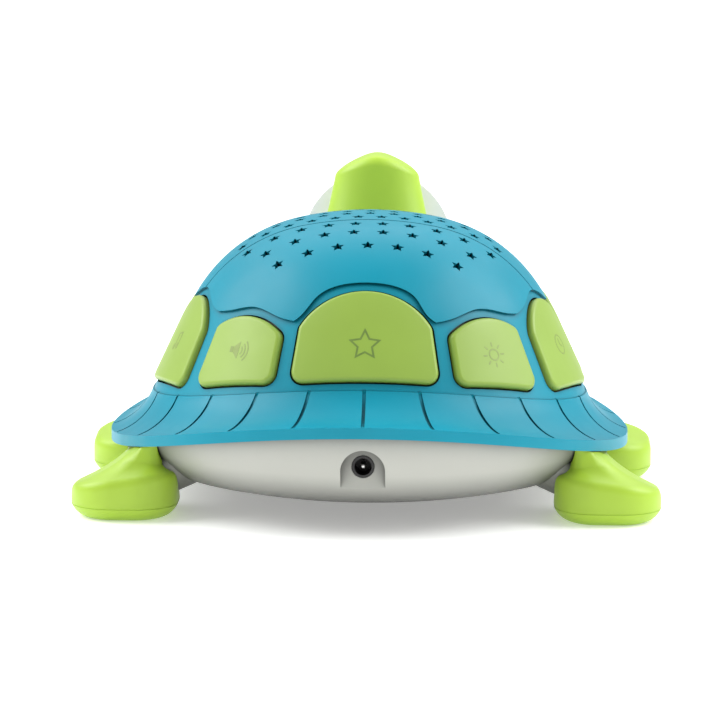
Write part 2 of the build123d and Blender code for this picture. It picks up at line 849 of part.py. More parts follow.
# Battery door, cut from the belly wall, and its screw
with BuildPart() as battery_door:
    with BuildSketch(Plane.XY):
        with Locations((0, box_y)):
            RectangleRounded(door_width, door_depth, door_corner)
        with Locations((0, tab_y)):
            Circle(door_tab_radius)
    extrude(amount=box_roof)
    add(belly_body(0, belly_top), mode=Mode.INTERSECT)
    add(belly_body(belly_wall, belly_top), mode=Mode.SUBTRACT)
    with BuildSketch(Plane.XY):
        with Locations((0, tab_y)):
            Circle(screw_radius + screw_fit)
    extrude(amount=box_roof, mode=Mode.SUBTRACT)
    with BuildSketch(Plane.XY):
        with Locations((0, tab_y)):
            Circle(screw_head_radius + screw_fit)
    extrude(amount=door_seat, mode=Mode.SUBTRACT)
write_piece(battery_door, "battery_door")

# Cells in a row across the box, with a contact at each end of each cell
cell_rows = [box_y + (index - (cell_count - 1) / 2) * cell_pitch for index in range(cell_count)]
with BuildPart() as battery_cells:
    for y in cell_rows:
        cell_plane = Plane(origin=(-cell_length / 2, y, cell_height), x_dir=(0, 1, 0), z_dir=(1, 0, 0))
        with BuildSketch(cell_plane):
            Circle(cell_radius)
        extrude(amount=cell_length - cell_nub_length)
        with BuildSketch(cell_plane.offset(cell_length - cell_nub_length)):
            Circle(cell_nub_radius)
        extrude(amount=cell_nub_length)
write_piece(battery_cells, "battery_cells")

with BuildPart() as battery_contacts:
    for y in cell_rows:
        for side in (-1, 1):
            wall_plane = Plane(
                origin=(side * box_half_x, y, cell_height), x_dir=(0, 1, 0), z_dir=(-side, 0, 0))
            with BuildSketch(wall_plane):
                RectangleRounded(contact_size, contact_size, contact_corner)
            extrude(amount=contact_wall)
            with BuildSketch(wall_plane.offset(contact_wall)):
                Circle(contact_size / 2 - contact_corner)
            extrude(amount=contact_room - contact_wall, taper=contact_taper)
write_piece(battery_contacts, "battery_contacts")

# Main board on its posts, with its sound chip and screws
with BuildPart() as main_board:
    with BuildSketch(Plane.XY.offset(board_height)):
        with Locations((0, board_y)):
            Rectangle(board_width, board_depth)
        with Locations(*board_spots):
            Circle(screw_radius + screw_fit, mode=Mode.SUBTRACT)
    extrude(amount=board_wall)
write_piece(main_board, "main_board")

with BuildPart() as sound_chip:
    with BuildSketch(Plane.XY.offset(board_height + board_wall)):
        with Locations((chip_x, board_y)):
            Rectangle(chip_size, chip_size)
    extrude(amount=chip_height)
    chamfer(faces().sort_by(Axis.Z)[-1].edges(), length=chip_edge)
write_piece(sound_chip, "sound_chip")

with BuildPart() as board_screws:
    with BuildSketch(Plane.XY.offset(board_height - screw_bite)):
        with Locations(*board_spots):
            Circle(screw_radius)
    extrude(amount=screw_bite + board_wall)
    with BuildSketch(Plane.XY.offset(board_height + board_wall)):
        with Locations(*board_spots):
            Circle(screw_head_radius)
    extrude(amount=screw_head_height)
write_piece(board_screws, "board_screws")

# Star projector: a tower on the board carries the lamp board and its coloured diodes
tower_foot = board_height + board_wall
tower_top = tower_foot + tower_height
with BuildPart() as light_tower:
    with BuildSketch(Plane.XY.offset(tower_foot)):
        Circle(tower_radius)
        Circle(tower_radius - tower_wall, mode=Mode.SUBTRACT)
    extrude(amount=tower_height)
write_piece(light_tower, "light_tower")

with BuildPart() as light_board:
    with BuildSketch(Plane.XY.offset(tower_top)):
        Circle(lamp_board_radius)
    extrude(amount=lamp_board_wall)
write_piece(light_board, "light_board")

with BuildPart() as projector_leds:
    with BuildSketch(Plane.XY.offset(tower_top + lamp_board_wall)):
        with PolarLocations(led_orbit, led_count):
            Circle(led_radius)
    extrude(amount=led_height)
    fillet(faces().filter_by(Axis.Z).group_by(Axis.Z)[-1].edges(), radius=led_radius * led_round)
write_piece(projector_leds, "projector_leds")

# Speaker, facing down on its ring in the belly
basket_foot = speaker_seat + speaker_flange
basket_top = speaker_seat + speaker_basket_height
speaker_plane = Plane(origin=(0, speaker_y, 0), x_dir=(1, 0, 0), z_dir=(0, -1, 0))
speaker_axis = Axis((0, speaker_y, 0), (0, 0, 1))
with BuildPart() as speaker_frame:
    with BuildSketch(speaker_plane):
        with BuildLine():
            Polyline(
                (speaker_radius, speaker_seat), (speaker_radius, basket_foot),
                (speaker_radius - speaker_lip, basket_foot), (speaker_neck_radius + speaker_lip, basket_top),
                (speaker_neck_radius - speaker_lip, basket_top),
                (speaker_neck_radius - speaker_lip, basket_top - basket_wall),
                (speaker_neck_radius + speaker_lip - basket_wall, basket_top - basket_wall),
                (speaker_radius - speaker_lip - basket_wall, basket_foot - basket_wall / 2),
                (speaker_radius - speaker_lip - basket_wall, speaker_seat), close=True)
        make_face()
    revolve(axis=speaker_axis)
write_piece(speaker_frame, "speaker_frame")

cone_rim = speaker_radius - speaker_lip - basket_wall
cone_neck = speaker_neck_radius - speaker_lip
cone_top = basket_top - basket_wall
with BuildPart() as speaker_cone:
    with BuildSketch(speaker_plane):
        with BuildLine():
            Polyline(
                (cone_rim, speaker_seat), (cone_rim, speaker_seat + cone_wall),
                (cone_neck, cone_top), (0, cone_top), (0, cone_top - cone_wall),
                (cone_neck - cone_wall, cone_top - cone_wall),
                (cone_rim - cone_wall, speaker_seat), close=True)
        make_face()
    revolve(axis=speaker_axis)
write_piece(speaker_cone, "speaker_cone")

with BuildPart() as speaker_magnet:
    with BuildSketch(Plane.XY.offset(basket_top)):
        with Locations((0, speaker_y)):
            Circle(magnet_radius)
    extrude(amount=magnet_height)
    chamfer(faces().sort_by(Axis.Z)[-1].edges(), length=basket_wall)
write_piece(speaker_magnet, "speaker_magnet")

# DC inlet: jack body behind the recess, nose through its floor, pin in its bore
with BuildPart() as dc_jack:
    with BuildSketch(jack_plane.offset(-belly_wall)):
        Rectangle(jack_width, jack_tall)
    extrude(amount=-jack_depth)
    with BuildSketch(jack_plane.offset(-belly_wall)):
        Circle(jack_nose_radius)
    extrude(amount=belly_wall + jack_nose_proud)
    with BuildSketch(jack_plane.offset(jack_nose_proud)):
        Circle(jack_bore_radius)
    extrude(amount=-jack_bore_depth, mode=Mode.SUBTRACT)
write_piece(dc_jack, "dc_jack")

with BuildPart() as dc_jack_pin:
    with BuildSketch(jack_plane.offset(jack_nose_proud - jack_bore_depth)):
        Circle(jack_pin_radius)
    extrude(amount=jack_pin_length)
    fillet(faces().sort_by(Axis.Y)[0].edges(), radius=jack_pin_radius * jack_pin_round)
write_piece(dc_jack_pin, "dc_jack_pin")

# Face: a lens of two spherical bulges, with two eyes on its front
front_rise = face_front - face_edge
back_rise = face_back - face_edge
front_sphere = (face_radius**2 + front_rise**2) / (2 * front_rise)
back_sphere = (face_radius**2 + back_rise**2) / (2 * back_rise)
front_half = degrees(asin(face_radius / front_sphere))
back_half = degrees(asin(face_radius / back_sphere))
face_plane = Plane(origin=(0, face_middle, face_height), x_dir=(1, 0, 0), z_dir=(0, 0, 1))
face_axis = Axis((0, face_middle, face_height), (0, 1, 0))
with BuildPart() as face_disc:
    with BuildSketch(face_plane):
        with BuildLine():
            front = CenterArc((0, face_front - front_sphere), front_sphere, 90 - front_half, front_half)
            back = CenterArc((0, back_sphere - face_back), back_sphere, -90, back_half)
            Line(front @ 0, back @ 1)
            Line(front @ 1, back @ 0)
        make_face()
    revolve(axis=face_axis)
write_piece(face_disc, "face_disc")


def face_ball(offset):
    """Ball whose surface lies an offset outside the front of the face."""
    with BuildPart() as ball:
        with Locations((0, face_middle + face_front - front_sphere, face_height)):
            Sphere(front_sphere + offset)
    return ball.part


eye_plane = Plane(origin=(0, face_middle, face_height + eye_lift), x_dir=(-1, 0, 0), z_dir=(0, 1, 0))
with BuildPart() as eyes:
    with BuildSketch(eye_plane):
        with GridLocations(eye_spacing, 1, 2, 1):
            Ellipse(eye_half_width, eye_half_height)
    extrude(amount=2 * face_front)
    add(face_ball(eye_thickness), mode=Mode.INTERSECT)
    add(face_ball(0), mode=Mode.SUBTRACT)
write_piece(eyes, "eyes")

# Head: lofted neck and hood with a rounded crown, seated on the shell and round the back of the face
with BuildPart() as hood_arch:
    with BuildSketch(Plane.XZ):
        with BuildLine():
            half = [hood_temple, hood_shoulder, hood_brow]
            over = Spline(*[(-x, z) for x, z in half], (0, hood_top), *reversed(half))
            Polyline(
                over @ 1, (face_radius, hood_temple[1]), (face_radius, 0), (-face_radius, 0),
                (-face_radius, hood_temple[1]), over @ 0)
        make_face()
    extrude(amount=2 * rim_radius, both=True)

with BuildPart() as head_shell:
    for height, half_width, half_depth, place in hood_levels:
        with BuildSketch(Plane.XY.offset(height)):
            with Locations((0, place)):
                Ellipse(half_width, half_depth)
    loft()
    add(hood_arch.part, mode=Mode.INTERSECT)
    fillet(edges().filter_by(lambda edge: (edge @ 0.5).Z > hood_temple[1]), radius=hood_edge)
    add(envelope.part, mode=Mode.SUBTRACT)
    add(crown.part, mode=Mode.SUBTRACT)
    add(face_disc.part, mode=Mode.SUBTRACT)
write_piece(head_shell, "head_shell")

# Flippers: a flat sole, a rounded flank and an instep that rises to the neck beside the belly
neck_top = arch(lip_bottom, neck_y - neck_depth / 2) - lip_gap
with BuildPart() as leg_room:
    add(belly_body(-seat_gap, belly_top))
    add(legs(seat_gap))

sole_levels = [
    (0.0, sole_inset), (sole_height * sole_bulge_height, sole_inset * sole_bulge_inset), (sole_height, 0.0)]
with BuildPart() as sole_rear_left:
    for height, inset in sole_levels:
        with BuildSketch(Plane(origin=(-flipper_x, -flipper_y, height))):
            RectangleRounded(flipper_width - 2 * inset, flipper_depth - 2 * inset, flipper_corner - inset)
    loft()
write_piece(sole_rear_left, "sole_rear_left")

with BuildPart() as flipper_rear_left:
    for height, tilt, inset in flank_levels:
        with BuildSketch(Plane((-flipper_x, -flipper_y, height)).rotated((0, -tilt, 0))):
            RectangleRounded(flipper_width - 2 * inset, flipper_depth - 2 * inset, flipper_corner - inset)
    for height, tilt, width, depth, corner, x, y in instep_levels:
        with BuildSketch(Plane((-x, -y, height)).rotated((0, -tilt, 0))):
            RectangleRounded(width, depth, corner)
    with BuildSketch(Plane((-neck_x, -neck_y, neck_top))):
        RectangleRounded(neck_width, neck_depth, neck_corner)
    loft()
    add(leg_room.part, mode=Mode.SUBTRACT)
write_piece(flipper_rear_left, "flipper_rear_left")

# The other flippers and soles are mirror images
for source, piece in ((sole_rear_left, "sole"), (flipper_rear_left, "flipper")):
    with BuildPart() as rear_right:
        mirror(source.part, about=Plane.YZ)
    write_piece(rear_right, f"{piece}_rear_right")
    with BuildPart() as front_left:
        mirror(source.part, about=Plane.XZ)
    write_piece(front_left, f"{piece}_front_left")
    with BuildPart() as front_right:
        mirror(rear_right.part, about=Plane.XZ)
    write_piece(front_right, f"{piece}_front_right")

# Screw of the battery door, up into the post over the door's tab
with BuildPart() as battery_door_screw:
    with BuildSketch(Plane.XY.offset(door_seat - door_screw_head)):
        with Locations((0, tab_y)):
            Circle(screw_head_radius)
    extrude(amount=door_screw_head)
    with BuildSketch(Plane.XY.offset(door_seat)):
        with Locations((0, tab_y)):
            Circle(screw_radius)
    extrude(amount=screw_bite)
write_piece(battery_door_screw, "battery_door_screw")
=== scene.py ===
import json
from math import atan2, ceil, cos, hypot, pi, radians, sin, sqrt, tan

import bmesh
import bpy
from mathutils import Matrix, Quaternion, Vector, geometry
from mathutils.bvhtree import BVHTree
from mathutils.kdtree import KDTree


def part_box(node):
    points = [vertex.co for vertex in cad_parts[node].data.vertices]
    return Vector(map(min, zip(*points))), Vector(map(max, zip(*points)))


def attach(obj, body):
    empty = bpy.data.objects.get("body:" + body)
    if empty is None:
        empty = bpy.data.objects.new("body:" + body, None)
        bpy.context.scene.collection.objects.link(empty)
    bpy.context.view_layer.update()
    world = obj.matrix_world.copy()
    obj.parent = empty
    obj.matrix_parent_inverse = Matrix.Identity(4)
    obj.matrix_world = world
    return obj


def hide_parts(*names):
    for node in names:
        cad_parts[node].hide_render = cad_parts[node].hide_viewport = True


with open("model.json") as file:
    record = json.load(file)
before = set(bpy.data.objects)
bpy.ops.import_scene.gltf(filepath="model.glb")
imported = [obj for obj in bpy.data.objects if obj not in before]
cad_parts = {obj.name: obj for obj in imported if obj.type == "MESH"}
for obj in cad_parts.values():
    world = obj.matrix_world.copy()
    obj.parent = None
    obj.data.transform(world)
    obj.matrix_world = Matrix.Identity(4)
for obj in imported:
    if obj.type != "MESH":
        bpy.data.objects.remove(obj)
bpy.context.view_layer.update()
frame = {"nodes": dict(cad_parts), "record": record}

MM = 0.001
AXIS_Y = -9.35 * MM
FLANK_LEAN = radians(25.0)
FLANK_SLOPE = tan(FLANK_LEAN)


# Colours and finishes
NOISE_LOW, NOISE_HIGH = 0.3, 0.7
GLOSS_SPREAD = 0.04
GRAIN_HEIGHT = 0.2 * MM


def linear(red, green, blue):
    """Linear colour of an 8 bit screen colour."""
    values = []
    for value in (red, green, blue):
        value = value / 255.0
        values.append(value / 12.92 if value <= 0.04045 else ((value + 0.055) / 1.055) ** 2.4)
    return values


def link(tree, source, target):
    """Joins two sockets."""
    tree.links.new(source, target)


def noise(tree, coords, scale, detail=2.0):
    """Value of a noise texture."""
    node = tree.nodes.new("ShaderNodeTexNoise")
    node.inputs["Scale"].default_value = scale
    node.inputs["Detail"].default_value = detail
    link(tree, coords, node.inputs["Vector"])
    return node.outputs["Fac"]


def spread(tree, source, low, high):
    """Maps a noise value to the range low to high."""
    node = tree.nodes.new("ShaderNodeMapRange")
    node.inputs["From Min"].default_value = NOISE_LOW
    node.inputs["From Max"].default_value = NOISE_HIGH
    node.inputs["To Min"].default_value = low
    node.inputs["To Max"].default_value = high
    link(tree, source, node.inputs["Value"])
    return node.outputs["Result"]


def surface(name, colour, rough=0.42, mottle=0.05, cloud=24.0, grain=1400.0, depth=0.03, metal=0.0,
            specular=0.5, painted_shade_reach=0.0):
    """A moulded or plated finish: cloudy tone, uneven gloss and a fine grain, with painted shade that darkens
    the colour where other surfaces close in.
    """
    made = bpy.data.materials.new(name)
    made.use_nodes = True
    tree = made.node_tree
    shader = tree.nodes["Principled BSDF"]
    shader.inputs["Metallic"].default_value = metal
    shader.inputs["Specular IOR Level"].default_value = specular
    coords = tree.nodes.new("ShaderNodeTexCoord").outputs["Object"]
    tone = tree.nodes.new("ShaderNodeValToRGB")
    dark = [value * (1.0 - mottle) for value in colour]
    light = [min(1.0, value * (1.0 + mottle)) for value in colour]
    tone.color_ramp.elements[0].position = NOISE_LOW
    tone.color_ramp.elements[1].position = NOISE_HIGH
    tone.color_ramp.elements[0].color = (*dark, 1.0)
    tone.color_ramp.elements[1].color = (*light, 1.0)
    link(tree, noise(tree, coords, cloud, 3.0), tone.inputs["Fac"])
    shown = tone.outputs["Color"]
    # Painted shade: an ambient occlusion node darkens the base colour in holes, grooves, gaps and near close
    # surfaces, within the given reach.
    if painted_shade_reach:
        shaded = tree.nodes.new("ShaderNodeAmbientOcclusion")
        shaded.inputs["Distance"].default_value = painted_shade_reach
        link(tree, shown, shaded.inputs["Color"])
        shown = shaded.outputs["Color"]
    link(tree, shown, shader.inputs["Base Color"])
    patches = noise(tree, coords, 3.0 * cloud)
    gloss = spread(tree, patches, rough - GLOSS_SPREAD, rough + GLOSS_SPREAD)
    link(tree, gloss, shader.inputs["Roughness"])
    bump = tree.nodes.new("ShaderNodeBump")
    bump.inputs["Strength"].default_value = depth
    bump.inputs["Distance"].default_value = GRAIN_HEIGHT
    link(tree, noise(tree, coords, grain), bump.inputs["Height"])
    link(tree, bump.outputs["Normal"], shader.inputs["Normal"])
    return made


# Painted shade reach: shell and buttons darken in star holes, grooves and button gaps; belly and legs darken
# near the flippers and under the shell.
finishes = {
    "shell_blue": surface("shell_blue", linear(2, 134, 157), rough=0.42, specular=0.24, painted_shade_reach=2.5 * MM),
    "belly_white": surface("belly_white", linear(174, 175, 168), rough=0.42, mottle=0.02, painted_shade_reach=24.0 * MM),
    "flipper_green": surface("flipper_green", linear(162, 196, 58), rough=0.42, specular=0.45),
    "button_green": surface("button_green", linear(136, 165, 64), rough=0.42, specular=0.5, painted_shade_reach=2.0 * MM),
    "face_white": surface("face_white", linear(227, 226, 227), rough=0.35, mottle=0.02),
    "eye_black": surface("eye_black", linear(16, 16, 17), rough=0.12, mottle=0.2, depth=0.0),
    "jack_black": surface("jack_black", linear(20, 20, 20), rough=0.45, mottle=0.15),
    "chip_black": surface("chip_black", linear(26, 26, 28), rough=0.5, mottle=0.15),
    "steel": surface("steel", linear(196, 196, 194), rough=0.28, mottle=0.06, metal=1.0),
    "cell_wrap": surface("cell_wrap", linear(58, 62, 66), rough=0.3, mottle=0.08),
    "board_green": surface("board_green", linear(24, 92, 54), rough=0.35, mottle=0.12, cloud=160.0),
    "inner_grey": surface("inner_grey", linear(150, 151, 150), rough=0.5),
    "circuit_amber": surface("circuit_amber", linear(180, 120, 44), rough=0.3, mottle=0.1, cloud=120.0),
    "led_clear": surface("led_clear", linear(232, 236, 240), rough=0.08, mottle=0.02, depth=0.0),
    "speaker_steel": surface("speaker_steel", linear(44, 44, 46), rough=0.35, mottle=0.08),
    "cone_black": surface("cone_black", linear(30, 30, 31), rough=0.7, mottle=0.2, grain=900.0, depth=0.2),
    "magnet_iron": surface("magnet_iron", linear(70, 70, 72), rough=0.55, mottle=0.15, grain=700.0,
                           depth=0.15),
}
print_ink = surface("print_ink", linear(100, 126, 56), rough=0.5, mottle=0.08, cloud=300.0)
print_pale = surface("print_pale", linear(128, 148, 70), rough=0.5, mottle=0.08, cloud=300.0)
smile_ink = surface("smile_ink", linear(92, 120, 58), rough=0.5, mottle=0.08, cloud=300.0)

slots = {row["node"]: row["material_slot"] for row in frame["record"]["subparts"]}
for node, thing in frame["nodes"].items():
    thing.data.materials.clear()
    thing.data.materials.append(finishes[slots[node]])


# Skirt that flares out toward its lip, in millimetres from the shell's axis. A copy of the shell takes the
# shell's place: its points between the skirt's top line and its lip go from a bulging arc to a hollow one,
# but not under the neck. Both lines arch up toward head and tail. A bend is the place that an arc goes
# through, as shares of the way out and down.
ARCH = 0.0017
FLANK_FOOT = 82.58
SKIRT_TOP_R, SKIRT_TOP_Z = 83.28, 41.6
RIM, LIP_Z = 99.3, 26.4
SKIRT_ROOT = 62.0
SKIRT_BELOW, SKIRT_ABOVE = 8.0, 2.0
BULGE_BEND = (0.72, 0.5)
FLARE_BEND = (0.37, 0.62)
NECK_EDGE, NECK_FADE = cos(radians(21.0)), cos(radians(36.0))
TURN_STEP = 0.01
LEAST_MOVE = 0.001
FACE_INSET = 0.04


def skirt_ends(share_y):
    """Top and lip of the skirt as radius and height, where y is a share of the radius."""
    top_z = SKIRT_TOP_Z + ARCH * (FLANK_FOOT * share_y) ** 2
    top_r = SKIRT_TOP_R - FLANK_SLOPE * (top_z - SKIRT_TOP_Z)
    return (top_r, top_z), (RIM, LIP_Z + ARCH * (RIM * share_y) ** 2)


def arc_of(top, lip, bend_share):
    """Centre, radius and end angles of the arc from top to lip through a bend, with no jump between them."""
    bend = (top[0] + bend_share[0] * (lip[0] - top[0]), top[1] + bend_share[1] * (lip[1] - top[1]))
    (ax, ay), (bx, by), (cx, cy) = top, bend, lip
    twice = 2 * (ax * (by - cy) + bx * (cy - ay) + cx * (ay - by))
    a, b, c = ax**2 + ay**2, bx**2 + by**2, cx**2 + cy**2
    x = (a * (by - cy) + b * (cy - ay) + c * (ay - by)) / twice
    y = (a * (cx - bx) + b * (ax - cx) + c * (bx - ax)) / twice
    first, last = atan2(ay - y, ax - x), atan2(cy - y, cx - x)
    if first > 0.6 * pi:
        first -= 2 * pi
    return x, y, hypot(ax - x, ay - y), first, last


def flare(point):
    """Where a point of the shell goes."""
    reach = hypot(point.x, point.y)
    if reach < SKIRT_ROOT:
        return point
    share_y = point.y / reach
    top, lip = skirt_ends(share_y)
    if not lip[1] - SKIRT_BELOW < point.z < top[1] + SKIRT_ABOVE:
        return point
    x, z, radius, first, last = arc_of(top, lip, BULGE_BEND)
    share = (first - atan2(point.z - z, reach - x)) / (first - last)
    if not 0.0 < share < 1.0:
        return point
    proud = hypot(point.z - z, reach - x) - radius
    x, z, radius, first, last = arc_of(top, lip, FLARE_BEND)
    angle = first + (last - first) * share
    fade = min(1.0, max(0.0, (NECK_EDGE - share_y) / (NECK_EDGE - NECK_FADE)))
    fade *= fade * (3 - 2 * fade)
    inward = fade * (x + (radius - proud) * cos(angle) - reach) / reach
    drop = fade * (z + (radius - proud) * sin(angle) - point.z)
    return Vector((point.x * (1 + inward), point.y * (1 + inward), point.z + drop))


def turn_of(point):
    """How the flare turns a normal at a point."""
    here = flare(point)
    columns = []
    for axis in ((1, 0, 0), (0, 1, 0), (0, 0, 1)):
        columns.append((flare(point + Vector(axis) * TURN_STEP) - here) / TURN_STEP)
    return Matrix(columns).inverted_safe()


# Star holes, which the copy makes larger: rows as distance from the middle, number of stars and width, on a
# crown and a shoulder of two radii
STAR_ROWS = ((41.0, 7, 67.0), (31.0, 8, 77.0), (21.5, 10, 92.0), (11.0, 12, 97.0), (3.6, 11, 90.0))
STAR_REACH, STAR_SEARCH, STAR_GROW = 2.35, 5.5, 1.2
CROWN, SHOULDER, CROWN_TURN = 131.1, 59.1, radians(12.4)
CROWN_Z = -21.6


def star_axes():
    """Middle and direction of each star hole."""
    shoulder_r = (CROWN - SHOULDER) * sin(CROWN_TURN)
    shoulder_z = CROWN_Z + (CROWN - SHOULDER) * cos(CROWN_TURN)
    for row, count, width in STAR_ROWS:
        for index in range(2 * count):
            x = width * (index // 2 / (count - 1) - 0.5)
            y = row if index % 2 else -row
            reach = hypot(x, y)
            centre_r, centre_z, radius = 0.0, CROWN_Z, CROWN
            if reach > CROWN * sin(CROWN_TURN):
                centre_r, centre_z, radius = shoulder_r, shoulder_z, SHOULDER
            rise = sqrt(radius**2 - (reach - centre_r) ** 2)
            out = (reach - centre_r) / reach
            yield Vector((x, y, centre_z + rise)), Vector((x * out, y * out, rise)).normalized()


plain = frame["nodes"]["upper_shell"].data
flared = plain.copy()
flared.name = "shell_flared"
spots = [Vector((v.co.x / MM, (v.co.y - AXIS_Y) / MM, v.co.z / MM)) for v in plain.vertices]
grown = {}
near = KDTree(len(spots))
for index, spot in enumerate(spots):
    near.insert(spot, index)
near.balance()
for middle, axis in star_axes():
    for spot, index, _ in near.find_range(middle, STAR_SEARCH):
        across = spot - middle
        across -= axis * across.dot(axis)
        if across.length < STAR_REACH:
            grown[index] = spot + across * (STAR_GROW - 1)
for vertex, spot in zip(flared.vertices, spots):
    vertex.co = grown.get(vertex.index, flare(spot)) * MM + Vector((0.0, AXIS_Y, 0.0))
normals = [Vector(row.vector) for row in plain.corner_normals]
for face in plain.polygons:
    centre = sum((spots[index] for index in face.vertices), Vector()) / len(face.vertices)
    if (flare(centre) - centre).length > LEAST_MOVE:
        for loop in face.loop_indices:
            inside = spots[plain.loops[loop].vertex_index].lerp(centre, FACE_INSET)
            normals[loop] = (turn_of(inside) @ normals[loop]).normalized()
flared.normals_split_custom_set(normals)
shell = bpy.data.objects.new("shell_flared", flared)
bpy.context.collection.objects.link(shell)
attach(shell, "base")
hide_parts("upper_shell")


# Flippers and legs, in millimetres from the shell's axis, for the corner where x and y are positive. The
# steps of a flipper's side are an inset and a height, above the parting line or from the crease. A leg's
# steps are a way along it and a radius.
PARTING = 5.0
PAD = (90.4, 44.0)
PAD_HALF, PAD_CORNER = 20.0, 16.0
PARTING_STEPS = ((0.2, 0.0), (0.0, 0.55))
CREASE_STEPS = ((0.0, -3.4), (0.12, -2.2), (0.5, -1.0), (1.2, -0.15), (2.2, 0.4))
CREASE, CREASE_FALL, CREASE_RISE = 14.6, 0.14, 0.09
FRONT_LIFT = 3.0
INSTEP_STEPS = 12
INSTEP_EVEN = 0.72
NECK_PLACE = (83.0, 42.0)
NECK_HALF_X, NECK_HALF_Y, NECK_CORNER = 7.4, 12.5, 5.0
NECK_FOOT, NECK_SLOPE, NECK_START = 20.4, 0.18, 76.5
LIP_INSIDE, LIP_UNDER = 98.6, 22.2
BELLY_R, BELLY_Z, BELLY_ROUND = 70.0, 37.1, 26.0
BELLY_GAP = 0.3
LEG_START = Vector((60.0, 35.6, 32.6))
LEG_DIVE, LEG_SWEEP = radians(39.0), radians(18.0)
LEG_STEPS = ((6.0, 15.6), (12.0, 15.0), (19.0, 13.2), (27.0, 10.6))
LEG_SIDES = 64
LEG_FLAT = 0.55
SHARP_EDGE = radians(50.0)
SAME_PLACE = 0.001 * MM


def rounded(place, half_x, half_y, corner, steps=16):
    """Outline of a rounded rectangle."""
    points = []
    for quarter, (side_x, side_y) in enumerate(((1, 1), (-1, 1), (-1, -1), (1, -1))):
        for index in range(steps + 1):
            turn = radians(90 * quarter + 90 * index / steps)
            x = place[0] + side_x * (half_x - corner) + corner * cos(turn)
            y = place[1] + side_y * (half_y - corner) + corner * sin(turn)
            points.append((x, y))
    return points


def crease_height(x, y):
    """Height of the soft crease between a flipper's side and its instep."""
    return CREASE - CREASE_FALL * (x - PAD[0]) + CREASE_RISE * (y - PAD[1])


def neck_height(x):
    """Height where the instep runs out into the neck."""
    return NECK_FOOT + NECK_SLOPE * (x - NECK_START)


def belly_reach(z):
    """Radius of the belly bowl's outside at a height."""
    return BELLY_R + sqrt(max(0.0, BELLY_ROUND**2 - (BELLY_Z - z) ** 2))


def pad_outline(inset):
    """Outline of a flipper's pad."""
    return rounded(PAD, PAD_HALF - inset, PAD_HALF - inset, PAD_CORNER - inset)


def flipper_rings(lift_all):
    """Outlines of a flipper, from its parting line up to the top of its neck under the lip."""
    rings = []
    for inset, lift in PARTING_STEPS:
        rings.append([(x, y, PARTING + lift) for x, y in pad_outline(inset)])
    for inset, lift in CREASE_STEPS:
        rings.append([(x, y, crease_height(x, y) + lift_all + lift) for x, y in pad_outline(inset)])
    foot = rings[-1]
    neck = rounded(NECK_PLACE, NECK_HALF_X, NECK_HALF_Y, NECK_CORNER)
    for step in range(1, INSTEP_STEPS + 1):
        share = step / INSTEP_STEPS
        rise = INSTEP_EVEN * share + (1.0 - INSTEP_EVEN) * share**3
        ring = []
        for (x, y, z), (neck_x, neck_y) in zip(foot, neck):
            top = neck_height(neck_x)
            ring.append((x + (neck_x - x) * share, y + (neck_y - y) * share, z + (top - z) * rise))
        rings.append(ring)
    under_lip = []
    for x, y in neck:
        reach = hypot(x, y)
        inside = min(1.0, LIP_INSIDE / reach)
        under_lip.append((x * inside, y * inside, LIP_UNDER + ARCH * (RIM * y / reach) ** 2))
    rings.append(under_lip)
    return rings


def leg_rings():
    """Rings of a leg that dives from the belly into a flipper, lower on top to stay under the skirt."""
    along = Vector((cos(LEG_DIVE) * cos(LEG_SWEEP), cos(LEG_DIVE) * sin(LEG_SWEEP), -sin(LEG_DIVE)))
    side = along.cross(Vector((0, 0, 1))).normalized()
    over = side.cross(along)
    rings = []
    for travel, radius in LEG_STEPS:
        ring = []
        for index in range(LEG_SIDES):
            turn = radians(360 * index / LEG_SIDES)
            height = radius * sin(turn) * (LEG_FLAT if sin(turn) > 0 else 1.0)
            ring.append(tuple(LEG_START + along * travel + side * (radius * cos(turn)) + over * height))
        rings.append(ring)
    return rings


def skin_rings(name, rings, side, end, finish):
    """Closes a stack of rings into a piece in one of the four corners."""
    count = len(rings[0])
    verts = [(side * x * MM, AXIS_Y + end * y * MM, z * MM) for ring in rings for x, y, z in ring]
    faces = [tuple(range(count)), tuple(range(len(verts) - count, len(verts)))]
    for level in range(len(rings) - 1):
        for index in range(count):
            after = (index + 1) % count
            low, high = level * count, (level + 1) * count
            faces.append((low + index, low + after, high + after, high + index))
    made = bpy.data.meshes.new(name)
    made.from_pydata(verts, [], faces)
    shape = bmesh.new()
    shape.from_mesh(made)
    bmesh.ops.remove_doubles(shape, verts=shape.verts, dist=SAME_PLACE)
    bmesh.ops.recalc_face_normals(shape, faces=shape.faces)
    shape.to_mesh(made)
    shape.free()
    made.polygons.foreach_set("use_smooth", [True] * len(made.polygons))
    made.set_sharp_from_angle(angle=SHARP_EDGE)
    thing = bpy.data.objects.new(name, made)
    bpy.context.collection.objects.link(thing)
    thing.data.materials.append(finishes[finish])
    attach(thing, "base")
    return thing


def clear_of_belly(rings):
    """The rings with each point moved out to where it clears the belly."""
    moved = []
    for ring in rings:
        placed = []
        for x, y, z in ring:
            grow = max(1.0, (belly_reach(z) + BELLY_GAP) / hypot(x, y))
            placed.append((x * grow, y * grow, z))
        moved.append(placed)
    return moved


for side, side_name in ((-1, "left"), (1, "right")):
    for end, end_name, lift_all in ((-1, "rear", 0.0), (1, "front", FRONT_LIFT)):
        corner = f"{end_name}_{side_name}"
        rings = clear_of_belly(flipper_rings(lift_all))
        flipper = skin_rings(f"foot_{corner}", rings, side, end, "flipper_green")
        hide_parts(f"flipper_{corner}")
        skin_rings(f"leg_{corner}", leg_rings(), side, end, "belly_white")


# Printed icons, drawn flat in millimetres and laid on the faces that carry them
RAY_START = 15 * MM
PRINT_PROUD = 0.05 * MM
ICON_REACH, ICON_LEVEL = 88.0, 45.0
LEAST_LEAN = 0.4
LENGTH_SLACK = 0.001
THIN, MEDIUM, THICK, BOLD, SMILE_LINE = 0.5, 0.55, 0.6, 0.62, 1.1


